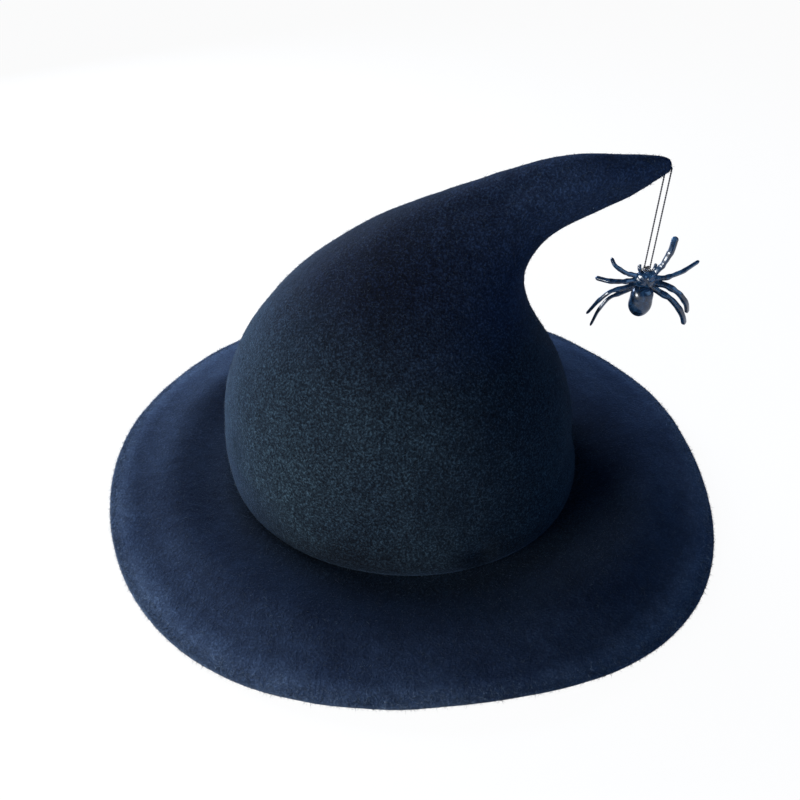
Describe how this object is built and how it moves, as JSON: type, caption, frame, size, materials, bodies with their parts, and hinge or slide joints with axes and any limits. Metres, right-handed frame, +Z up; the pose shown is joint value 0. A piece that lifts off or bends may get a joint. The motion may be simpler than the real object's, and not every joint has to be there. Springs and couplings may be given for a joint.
{
  "type": "witch hat",
  "caption": "Felt witch hat with a wide soft brim, a horn-shaped crown bent to one side, and a plastic spider hung from its tip on a doubled thread.",
  "frame": {"origin": "middle of the brim's outline, on the surface that the hat stands on", "axes": "+Z up through the crown, +X towards the horn's tip and the hanging spider"},
  "size_m": [0.3415, 0.3591, 0.1909],
  "materials": {
    "felt": "matt wool felt, napped",
    "ribbon": "ribbed grosgrain ribbon",
    "sewing_thread": "spun polyester sewing thread",
    "hanging_thread": "twisted cotton thread",
    "spider_plastic": "glossy moulded plastic"
  },
  "bodies": {
    "hat": {"felt_crown": "felt", "felt_brim": "felt", "sweatband": "ribbon", "sweatband_overlap": "ribbon", "sweatband_stitches": "sewing_thread"},
    "stitch": {"tip_stitch": "hanging_thread"},
    "left_strand": {"thread_left": "hanging_thread"},
    "right_strand": {"thread_right": "hanging_thread"},
    "knot": {"spider_knot": "hanging_thread"},
    "tie": {"spider_tie": "hanging_thread"},
    "spider": {"spider_head": "spider_plastic", "spider_abdomen": "spider_plastic", "spider_jaws": "spider_plastic", "spider_palp_left": "spider_plastic", "spider_palp_right": "spider_plastic", "spider_leg_left_1": "spider_plastic", "spider_leg_left_2": "spider_plastic", "spider_leg_left_3": "spider_plastic", "spider_leg_left_4": "spider_plastic", "spider_leg_right_1": "spider_plastic", "spider_leg_right_2": "spider_plastic", "spider_leg_right_3": "spider_plastic", "spider_leg_right_4": "spider_plastic"}
  },
  "joints": [
    {"name": "thread_sway", "type": "hinge", "parent": "hat", "child": "stitch", "pos_m": [0.1141, 0, 0.1799], "axis": [0.8365, 0, 0.548], "range_deg": [-60, 60]},
    {"name": "thread_swing", "type": "hinge", "parent": "stitch", "child": "left_strand", "pos_m": [0.1141, 0, 0.1799], "axis": [0, 1, 0], "range_deg": [-45, 12]},
    {"name": "right_strand_turn", "type": "hinge", "parent": "stitch", "child": "right_strand", "pos_m": [0.117, 0, 0.1818], "axis": [0, 1, 0], "range_deg": [-44, 12]},
    {"name": "knot_level", "type": "hinge", "parent": "left_strand", "child": "knot", "pos_m": [0.1141, 0, 0.1321], "axis": [0, 1, 0], "range_deg": [-12, 45]},
    {"name": "spider_twist", "type": "hinge", "parent": "knot", "child": "tie", "pos_m": [0.11555, 0, 0.1309], "axis": [0, 0, 1], "range_deg": [-90, 90]},
    {"name": "spider_nod", "type": "hinge", "parent": "tie", "child": "spider", "pos_m": [0.11555, 0, 0.1309], "axis": [1, 0, 0], "range_deg": [-20, 20]}
  ],
  "couplings": [
    {"joint": "right_strand_turn", "follows": "thread_swing", "ratio": 0.962},
    {"joint": "knot_level", "follows": "thread_swing", "ratio": -1}
  ]
}
